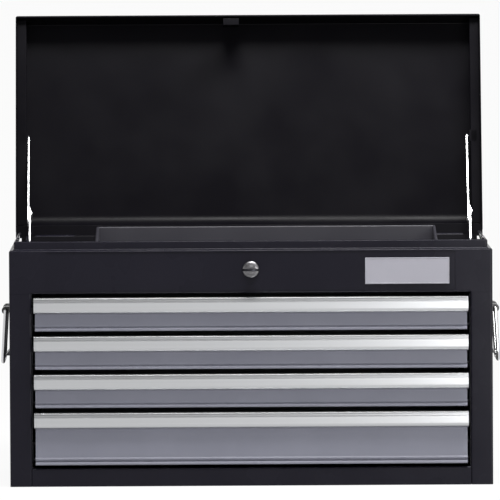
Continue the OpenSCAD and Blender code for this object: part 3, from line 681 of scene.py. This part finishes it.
# %% Lid: top, back and front skirt
# Sizes on the lid are measured from the hinge axis, with the lid shut
LID_OPEN = math.radians(105)
LID_INSET = 2
LID_X = SIDE_X - LID_INSET
LID_FRONT = -320
LID_LOW = -3.5
LID_TOP = 46
LID_SHEET = 1.0
STRIP_Y = -17
STRIP_Z = 4.8
BACK_BEND = 24.5
HEM_THICK = 3.0
pan = fold_sheet("lid_pan", [(LID_FRONT, LID_TOP), (STRIP_Y, LID_TOP), (STRIP_Y, STRIP_Z), (0, STRIP_Z)],
                 ends=(-LID_X, LID_X), lay=along_x)
bpy.ops.object.mode_set(mode="EDIT")
select_parts(pan, "EDGE", lambda x, y, z: abs(y - STRIP_Y) < CLOSE and z > LID_TOP - CLOSE)
bpy.ops.mesh.bevel(offset=BACK_BEND * MM, segments=12, affect="EDGES")
select_parts(pan, "EDGE", lambda x, y, z: y < LID_FRONT + NEAR)
extrude(0, 0, LID_LOW + HEM_THICK / 2 - LID_TOP)
bpy.ops.object.mode_set(mode="OBJECT")
print("Lid pan has", len(pan.data.vertices), "vertices before its ends")

# %% Lid: ends
END_CORNER_Y = -7
LID_EDGE_BEND = 2.5
LID_INSIDE = (0, LID_FRONT / 2, 0)


def lid_end_corner(side, test):
    """Selects the corners of one lid end that pass a test of y and z."""
    select_parts(pan, "VERT", lambda x, y, z: side * x > LID_X - CLOSE and test(y, z))


bpy.ops.object.mode_set(mode="EDIT")
for side in (-1, 1):
    lid_end_corner(side, lambda y, z: z < STRIP_Z + CLOSE and abs(y - STRIP_Y) < CLOSE)
    extrude(0, END_CORNER_Y - STRIP_Y, LID_LOW - STRIP_Z)
    lid_end_corner(side, lambda y, z: y < LID_FRONT + CLOSE and z < LID_LOW + HEM_THICK)
    extrude(0, HEM_THICK, -HEM_THICK / 2)
    lid_end_corner(side, lambda y, z: y < END_CORNER_Y + CLOSE)
    bpy.ops.mesh.edge_face_add()
bpy.ops.object.mode_set(mode="OBJECT")
print("Lid pan has", len(pan.data.polygons), "faces with its ends")
round_bends(pan, LID_EDGE_BEND, over=SQUARE_ONLY)
thicken(pan, LID_SHEET, LID_INSIDE)

# %% Lid: hem, and swing it open
HEM_HIGH = 6.0
HEM_ROUND = 0.48 * HEM_THICK
HEM_SHORTER = 2
# The hem stands a hair behind the skirt's face, so that the two never lie in one plane
HEM_BEHIND = 0.02
hinge_axis = Vector(joints["lid_hinge"]["pos_m"])
swing_open = Matrix.Translation(hinge_axis) @ Matrix.Rotation(-LID_OPEN, 4, "X")


def join(*pieces):
    """Joins pieces into the first one."""
    clear_selection()
    for piece in pieces:
        piece.select_set(True)
    bpy.context.view_layer.objects.active = pieces[0]
    bpy.ops.object.join()
    return pieces[0]


def settle(piece, placement):
    """Moves a piece by a placement and leaves its object at the origin."""
    take(piece)
    piece.matrix_world = placement
    bpy.ops.object.transform_apply(location=True, rotation=True, scale=True)


hem = block("lid_hem", (HEM_SHORTER - LID_X, LID_FRONT + HEM_BEHIND, LID_LOW),
            (LID_X - HEM_SHORTER, LID_FRONT + HEM_THICK, LID_LOW + HEM_HIGH))
round_bends(hem, HEM_ROUND)
pan = join(pan, hem)
settle(pan, swing_open)
dress(pan, "lid", lid_paint, "lid_paint", "lid_shell")

# %% Lid: flanges along the ends
FLANGE_Z = 9.3
FLANGE_WIDE = 14
FLANGE_LEG = 14
FLANGE_LIP = 3
FLANGE_BEND = 1.2
FLANGE_SHORTER = 3


def along_y(x, z, y):
    """Stands a section across the lid and runs it from front to back."""
    return (x, y, z)


for side, label in ((-1, "left"), (1, "right")):
    outer = side * (LID_X - LID_SHEET)
    inner = side * (LID_X - LID_SHEET - FLANGE_WIDE)
    section = [(outer, FLANGE_Z + FLANGE_LEG), (outer, FLANGE_Z),
               (inner, FLANGE_Z), (inner, FLANGE_Z + FLANGE_LIP)]
    flange = fold_sheet(f"lid_flange_{label}", section,
                        ends=(LID_FRONT + FLANGE_SHORTER, STRIP_Y - FLANGE_SHORTER), lay=along_y,
                        wall=LID_SHEET, bend=FLANGE_BEND,
                        inner=(inner, LID_FRONT / 2, FLANGE_Z + FLANGE_LEG))
    settle(flange, swing_open)
    dress(flange, "lid", lid_paint, "lid_paint", f"lid_end_{label}")

# %% [markdown]
# ## Drawer faces
#
# A drawer face is a folded sheet: flat over most of its height, then a crease and a rolled lip
# at the bottom that stiffens it. It goes on under the drawer as a short leg, and its sides fold
# back beside the box. The deepest face has one more bead over its crease. All four share one
# section, whose upper corners are set by the face's own height, so one loop folds them all.

# %% Drawer faces
FACE_WALL = 1.0
FACE_FOLD = 8
FACE_LEG = 20
FACE_BEND = 0.6
# Corners under the flat, as (in front of the face, above its lower edge)
DEEP_FACE_BEAD = [(0, 10.6), (1.8, 8.8), (1.6, 7.6)]
CREASE = [(0, 6.4), (-1.4, 5.0), (1.6, 3.9)]
LIP = [(2.6, 2.2), (2.4, 0.3)]
FLAT_STARTS = CREASE[0][1]
for number in DRAWERS:
    low, high = (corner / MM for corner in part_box(f"drawer_face_{number}"))
    face_x, bottom, top = high.x, low.z, high.z
    bead = DEEP_FACE_BEAD if number == DRAWERS[-1] else []
    section = ([(FRONT_Y + FACE_FOLD, top), (FRONT_Y, top)]
               + [(FRONT_Y - out, bottom + up) for out, up in bead + CREASE + LIP]
               + [(FRONT_Y, bottom), (FRONT_Y + FACE_LEG, bottom)])
    face = fold_sheet(f"drawer_front_{number}", section, ends=(-face_x, face_x), lay=along_x)
    bpy.ops.object.mode_set(mode="EDIT")
    for side in (-1, 1):
        select_parts(face, "EDGE", lambda x, y, z: side * x > face_x - CLOSE and abs(y - FRONT_Y) < CLOSE
                     and z > bottom + FLAT_STARTS - NEAR)
        extrude(0, FACE_FOLD, 0)
    bpy.ops.object.mode_set(mode="OBJECT")
    round_bends(face, FACE_BEND, segments=3)
    thicken(face, FACE_WALL, (0, 0, (top + bottom) / 2), eased=0)
    dress(face, f"drawer_{number}", drawer_paint, "drawer_paint", f"drawer_face_{number}")
print("Drawer faces are", round(2 * face_x), "mm wide")

# %% [markdown]
# ## Pull trims
#
# A pull trim hooks over the top edge of each face. It is an extrusion, so it has one outline
# along its whole length: a bead and a tilted band on top, a groove under them, a flat front and
# a rounded underside where the fingers go. The outline is put on a filled circle of as many
# corners, and extruded once. Its sawn ends are filed, which an inset of the end faces gives.


# %% Pull trims
def extrude_outline(name, outline, ends):
    """A bar with a closed outline of y and z, from ends[0] to ends[1] along x, in mm."""
    clear_selection()
    bpy.ops.mesh.primitive_circle_add(vertices=len(outline), fill_type="NGON")
    piece = bpy.context.object
    piece.name = name
    for vertex, (y, z) in zip(piece.data.vertices, outline):
        vertex.co = Vector((ends[0], y, z)) * MM
    bpy.ops.object.mode_set(mode="EDIT")
    bpy.ops.mesh.select_all(action="SELECT")
    extrude(ends[1] - ends[0], 0, 0)
    bpy.ops.mesh.select_all(action="SELECT")
    bpy.ops.mesh.normals_make_consistent(inside=False)
    bpy.ops.object.mode_set(mode="OBJECT")
    return piece


TRIM_OUT = 10
TRIM_HIGH = 21.4
TRIM_ROUND = 6.5
TRIM_HOOK = 7
TRIM_HOOK_WALL = 1
# Corners over the flat front, as (behind it, under the trim's top)
TRIM_BEAD = [(3.4, 0), (2.5, 0.3), (2.2, 0.9), (2.5, 1.5), (2.9, 1.8)]
TRIM_BAND = [(2.0, 5.0)]
TRIM_GROOVE = [(3.2, 5.4), (3.2, 6.1), (0.1, 6.4), (0, 7.0)]
FILED_WIDE, FILED_DEEP = 0.4, 0.25
quarter = [math.radians(angle) for angle in range(0, 91, 10)]
for number in DRAWERS:
    low, high = (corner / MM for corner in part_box(f"drawer_trim_{number}"))
    top, flat = high.z, FRONT_Y - TRIM_OUT
    front = [(flat + back, top - down) for back, down in TRIM_BEAD + TRIM_BAND + TRIM_GROOVE]
    underside = [(flat + TRIM_ROUND * (1 - math.cos(angle)),
                  top - TRIM_HIGH + TRIM_ROUND * (1 - math.sin(angle))) for angle in quarter]
    hook = [(FRONT_Y, top - TRIM_HIGH), (FRONT_Y, top - TRIM_HOOK_WALL),
            (FRONT_Y + TRIM_HOOK, top - TRIM_HOOK_WALL)]
    outline = [(FRONT_Y + TRIM_HOOK, top)] + front + underside + hook
    trim = extrude_outline(f"drawer_pull_{number}", outline, (low.x, high.x))
    bpy.ops.object.mode_set(mode="EDIT")
    for side in (-1, 1):
        select_parts(trim, "FACE", lambda x, y, z: side * x > high.x - CLOSE)
        bpy.ops.mesh.inset(thickness=FILED_WIDE * MM, depth=FILED_DEEP * MM)
    bpy.ops.object.mode_set(mode="OBJECT")
    dress(trim, f"drawer_{number}", aluminium, "trim", f"drawer_trim_{number}", angle=25)
print("Pull trims are", round(trim.dimensions.x / MM, 1), "mm long")

# %% [markdown]
# ## Lock and key
#
# The lock is a plated casting with a ridged dome, and a key stands in it. Such turned shapes
# start as a filled circle that is extruded and scaled once for each step of the profile, like
# cutting steps on a lathe. The plug's bore, the key slot and the hole for the key ring are cut
# out with Boolean, as a drill and a punch would.

# %% Turned pieces
QUARTER_TURN = Matrix.Rotation(math.radians(90), 4, "X")


def turned(name, steps, centre, segments=64):
    """A closed turned form whose steps are (along, radius) pairs, along -Y from a centre in mm."""
    clear_selection()
    along, radius = steps[0]
    bpy.ops.mesh.primitive_circle_add(vertices=segments, radius=radius * MM, fill_type="NGON",
                                      location=(0, 0, along * MM))
    piece = bpy.context.object
    piece.name = name
    bpy.ops.object.transform_apply(location=True, rotation=True, scale=True)
    bpy.ops.object.mode_set(mode="EDIT")
    bpy.ops.mesh.select_all(action="SELECT")
    for (along, radius), (next_along, next_radius) in zip(steps, steps[1:]):
        extrude(0, 0, next_along - along)
        scale = next_radius / radius
        bpy.ops.transform.resize(value=(scale, scale, 1), center_override=(0, 0, 0))
    bpy.ops.object.mode_set(mode="OBJECT")
    face_outward(piece)
    settle(piece, Matrix.Translation(Vector(centre) * MM) @ QUARTER_TURN)
    return piece


def hole(piece, cutter):
    """Cuts one piece out of another and removes the cutter."""
    apply_modifier(piece, "BOOLEAN", operation="DIFFERENCE", object=cutter, solver="EXACT")
    bpy.data.objects.remove(cutter)


housing_low, housing_high = (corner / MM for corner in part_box("lock_housing"))
lock_z = (housing_low.z + housing_high.z) / 2
barrel_y = housing_high.y
face_at = barrel_y - FRONT_Y
print("The lock sits", round(lock_z, 1), "mm up, with a barrel", round(face_at, 1), "mm long")

# %% Lock housing
BARREL_RADIUS = 7.7
BORE_RADIUS = 5.1
BORE_LENGTH = 30
# The ridged dome, as (in front of the header, radius)
DOME = [(0, 11.4), (0.9, 11.4), (1.9, 10.9), (2.8, 9.7), (3.2, 8.7), (2.7, 8.3), (3.1, 7.9), (3.3, 7.2),
        (2.8, 6.9), (3.2, 6.5), (3.3, 5.8)]
barrel = [(0, BARREL_RADIUS), (face_at, BARREL_RADIUS)]
housing = turned("lock_rosette", barrel + [(face_at + out, radius) for out, radius in DOME],
                 (0, barrel_y, lock_z))
cutter = turned("plug_bore", [(-NEAR, BORE_RADIUS), (BORE_LENGTH, BORE_RADIUS)], (0, barrel_y, lock_z))
hole(housing, cutter)
dress(housing, "cabinet", lock_metal, "chrome", "lock_housing")

# %% Lock plug
PLUG_RADIUS = 5.0
PLUG_OUT = 3.5
PLUG_ROUND_OUT, PLUG_ROUND_RADIUS = 4.0, 4.6
SLOT_X, SLOT_Z = 3.5, 1
SLOT_AHEAD, SLOT_DEEP = 2, 12
plug_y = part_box("lock_plug")[0].y / MM
plug = turned("lock_plug_face", [(0, PLUG_RADIUS), (face_at + PLUG_OUT, PLUG_RADIUS),
                                 (face_at + PLUG_ROUND_OUT, PLUG_ROUND_RADIUS)], (0, barrel_y, lock_z))
slot_cutter = block("key_slot", (-SLOT_X, plug_y - SLOT_AHEAD, lock_z - SLOT_Z),
                    (SLOT_X, plug_y + SLOT_DEEP, lock_z + SLOT_Z))
hole(plug, slot_cutter)
dress(plug, "lock", lock_metal, "chrome", "lock_plug")

# %% Key
BLADE_X, BLADE_Z = 3.4, 0.9
BLADE_IN_BOW = 2
BLADE_EDGE = 0.3
RING_RADIUS, RING_CUT = 3, 5
# The bow's rounded rim, as (in from its flat side, in from its radius)
BOW_EDGE = [(0, 0.7), (0.3, 0.2), (0.7, 0)]
key_low, key_high = (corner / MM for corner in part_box("lock_key"))
bow_radius = (key_high.x - key_low.x) / 2
bow_y = key_low.y + bow_radius
half = (key_high.z - key_low.z) / 2
lower = [(-half + flat_in, bow_radius - rim_in) for flat_in, rim_in in BOW_EDGE]
upper = [(-along, radius) for along, radius in reversed(lower)]
bow = turned("key_bow", lower + upper, (0, 0, 0))
settle(bow, Matrix.Translation(Vector((0, bow_y, lock_z)) * MM) @ QUARTER_TURN)
ring = turned("ring_hole", [(-RING_CUT, RING_RADIUS), (RING_CUT, RING_RADIUS)], (0, 0, 0), segments=32)
settle(ring, Matrix.Translation(Vector((0, bow_y - bow_radius / 2, lock_z)) * MM) @ QUARTER_TURN)
hole(bow, ring)
blade = block("key_blade", (-BLADE_X, bow_y + bow_radius - BLADE_IN_BOW, lock_z - BLADE_Z),
              (BLADE_X, key_high.y, lock_z + BLADE_Z))
round_bends(blade, BLADE_EDGE, segments=2)
key = join(bow, blade)
key.name = "key"
dress(key, "lock", dull_steel, "zinc", "lock_key")

# %% [markdown]
# ## Label plate
#
# A thin plate lies on the header at its right. It starts as a block of the size of the frame's
# own plate, gets a fine bevel, and its front is inset twice, so that a narrow rim stands round
# a sunken field. A plane with a border drawn on it would catch no light along that rim. The
# field stays bare.

# %% Label plate
PLATE_EDGE = 0.4
RIM_WIDE = 1.0
FIELD_SUNK = 0.3
low, high = (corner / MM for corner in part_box("label_plate"))
plate = block("label_plate_bare", low, high)
round_bends(plate, PLATE_EDGE, segments=2)
bpy.ops.object.mode_set(mode="EDIT")
select_parts(plate, "FACE", lambda x, y, z: y < low.y + ON)
bpy.ops.mesh.inset(thickness=RIM_WIDE * MM)
bpy.ops.mesh.inset(thickness=FIELD_SUNK * MM, depth=-FIELD_SUNK * MM)
bpy.ops.object.mode_set(mode="OBJECT")
dress(plate, "cabinet", bare_plate, "label", "label_plate")

# %% [markdown]
# ## Tray
#
# The loose tray in the till is one sheet with its walls folded up and its top edge rolled
# outwards, which hides the sharp cut. It starts as a box without its top. The back edge is
# raised, so the ends slope, and the rim is the open edge extruded out and down.

# %% Tray
FRONT_WALL = 48
ROLL = 2.4
TRAY_BEND = 1.2
TRAY_SHEET = 1.0
low, high = (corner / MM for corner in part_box("tray"))
tray = block("till_tray", low, (high.x, high.y, low.z + FRONT_WALL))
bpy.ops.object.mode_set(mode="EDIT")
select_parts(tray, "FACE", lambda x, y, z: z > low.z + NEAR)
bpy.ops.mesh.delete(type="FACE")
select_parts(tray, "VERT", lambda x, y, z: z > low.z + NEAR and y > high.y - NEAR)
bpy.ops.transform.translate(value=(0, 0, (high.z - low.z - FRONT_WALL) * MM))
select_parts(tray, "EDGE", lambda x, y, z: z > low.z + NEAR)
middle = (low + high) / 2
size = high - low
extrude(0, 0, 0)
bpy.ops.transform.resize(value=(1 + 2 * ROLL / size.x, 1 + 2 * ROLL / size.y, 1),
                         center_override=middle * MM)
extrude(0, 0, -ROLL)
bpy.ops.object.mode_set(mode="OBJECT")
round_bends(tray, TRAY_BEND, segments=3)
thicken(tray, TRAY_SHEET, tuple(middle))
dress(tray, "tray", tray_paint, "tray_paint", "tray")

# %% [markdown]
# ## Pressed and stamped parts
#
# Stays, brackets, plates and slides have their true shape in the frame already. A stamped part
# is never knife sharp, though, and it is the eased edge that catches the light. Each one is
# copied, its loose triangles are merged into whole faces, and its sharp edges are rounded.

# %% Eased copies
WELD_GAP = 0.01 * MM
FLAT_ANGLE = 1
STAMPED_ANGLE = 30


def eased_copy(name, body, material, slot):
    """A merged copy of a frame part with its sharp edges rounded, in place of the part."""
    clear_selection()
    copy = bpy.data.objects.new(f"{name}_eased", nodes[name].data.copy())
    bpy.context.scene.collection.objects.link(copy)
    take(copy)
    bpy.ops.mesh.customdata_custom_splitnormals_clear()
    apply_modifier(copy, "WELD", merge_threshold=WELD_GAP)
    bpy.ops.object.mode_set(mode="EDIT")
    bpy.ops.mesh.select_all(action="SELECT")
    bpy.ops.mesh.dissolve_limited(angle_limit=math.radians(FLAT_ANGLE))
    bpy.ops.object.mode_set(mode="OBJECT")
    round_bends(copy, EASED_EDGE, segments=2, over=STAMPED_ANGLE)
    return dress(copy, body, material, slot, name)


for side in ("left", "right"):
    eased_copy(f"stay_upper_{side}", f"stay_upper_{side}", zinc, "zinc")
    eased_copy(f"stay_lower_{side}", f"stay_lower_{side}", zinc, "zinc")
    eased_copy(f"stay_anchor_{side}", "cabinet", cabinet_paint, "cabinet_paint")
    eased_copy(f"stay_ear_{side}", "lid", lid_paint, "lid_paint")
    eased_copy(f"handle_plate_{side}", "cabinet", handle_paint, "inner_paint")
    eased_copy(f"posts_{side}", "cabinet", gap_lifting_box_paint, "inner_paint")
eased_copy("lid_catch", "lid", lid_paint, "lid_paint")
for number in DRAWERS:
    eased_copy(f"drawer_box_{number}", f"drawer_{number}", gap_lifting_box_paint, "inner_paint")
    eased_copy(f"drawer_runners_{number}", f"drawer_{number}", gap_lifting_box_paint, "inner_paint")
    eased_copy(f"slides_{number}", "cabinet", dull_steel, "zinc")

# %% [markdown]
# ## Parts that stay as they are
#
# The base, back, till floor, hinge, lock cam and drop handles are plain sheets, knuckles and
# rods that the frame already holds in full, so they keep their own mesh and only get a finish.
# The parts whose places new pieces have taken get the inner paint as well, which doesn't show.

# %% Finishes for the frame parts that stay
finishes = {"bail_left": chrome, "bail_right": chrome, "hinge_leaf_body": cabinet_paint,
            "hinge_leaf_lid": lid_paint, "hinge_pin": dull_steel, "lock_cam": dull_steel}
for name, node in nodes.items():
    node.data.materials.clear()
    node.data.materials.append(finishes.get(name, inner_paint))
print(len(finishes), "parts of the frame have a finish of their own")

# %% Sizes
low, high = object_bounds()
print("The dressed chest is", [round(side / MM, 1) for side in high - low], "mm")
